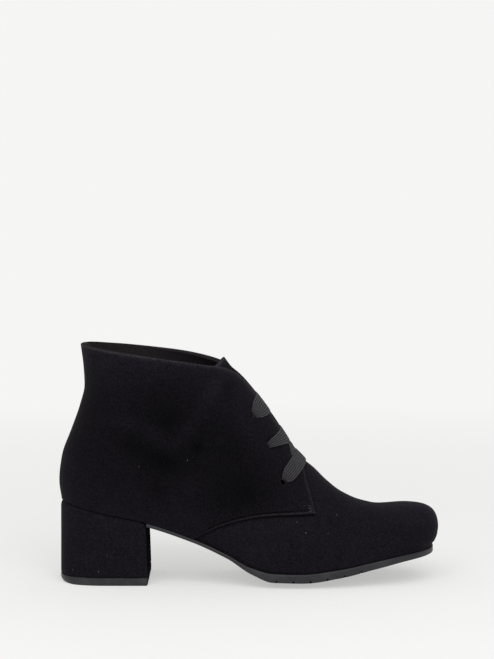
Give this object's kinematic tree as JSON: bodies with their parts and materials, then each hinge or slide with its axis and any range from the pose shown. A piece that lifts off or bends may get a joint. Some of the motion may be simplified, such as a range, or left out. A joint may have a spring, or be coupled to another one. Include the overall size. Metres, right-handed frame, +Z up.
{
  "type": "lace-up ankle boot",
  "caption": "Black suede ankle boot with a covered block heel, low rounded toe, flat woven lace over an open throat and a thin rubber sole.",
  "frame": {"origin": "on the floor, under the middle of the boot's bounding box", "axes": "+X from heel to toe, -Y to the outer side of the foot, +Z up"},
  "size_m": [0.2524, 0.0866, 0.1568],
  "materials": {
    "upper": "soft black suede with a short nap, lined in dark fabric",
    "quarter_outer": "soft black suede with a short nap",
    "quarter_inner": "soft black suede with a short nap",
    "tongue": "soft black suede with a raw top edge",
    "lace": "flat woven dark grey lace, ribbed lengthwise",
    "insole": "dark matt lining",
    "outsole": "semi-matt black rubber",
    "heel_block": "block covered in the upper's black suede",
    "heel_top_piece": "semi-matt black rubber"
  },
  "bodies": {
    "root": {"upper": "upper", "quarter_outer": "quarter_outer", "quarter_inner": "quarter_inner", "tongue": "tongue", "lace": "lace", "insole": "insole", "outsole": "outsole", "heel_block": "heel_block", "heel_top_piece": "heel_top_piece"}
  },
  "joints": []
}
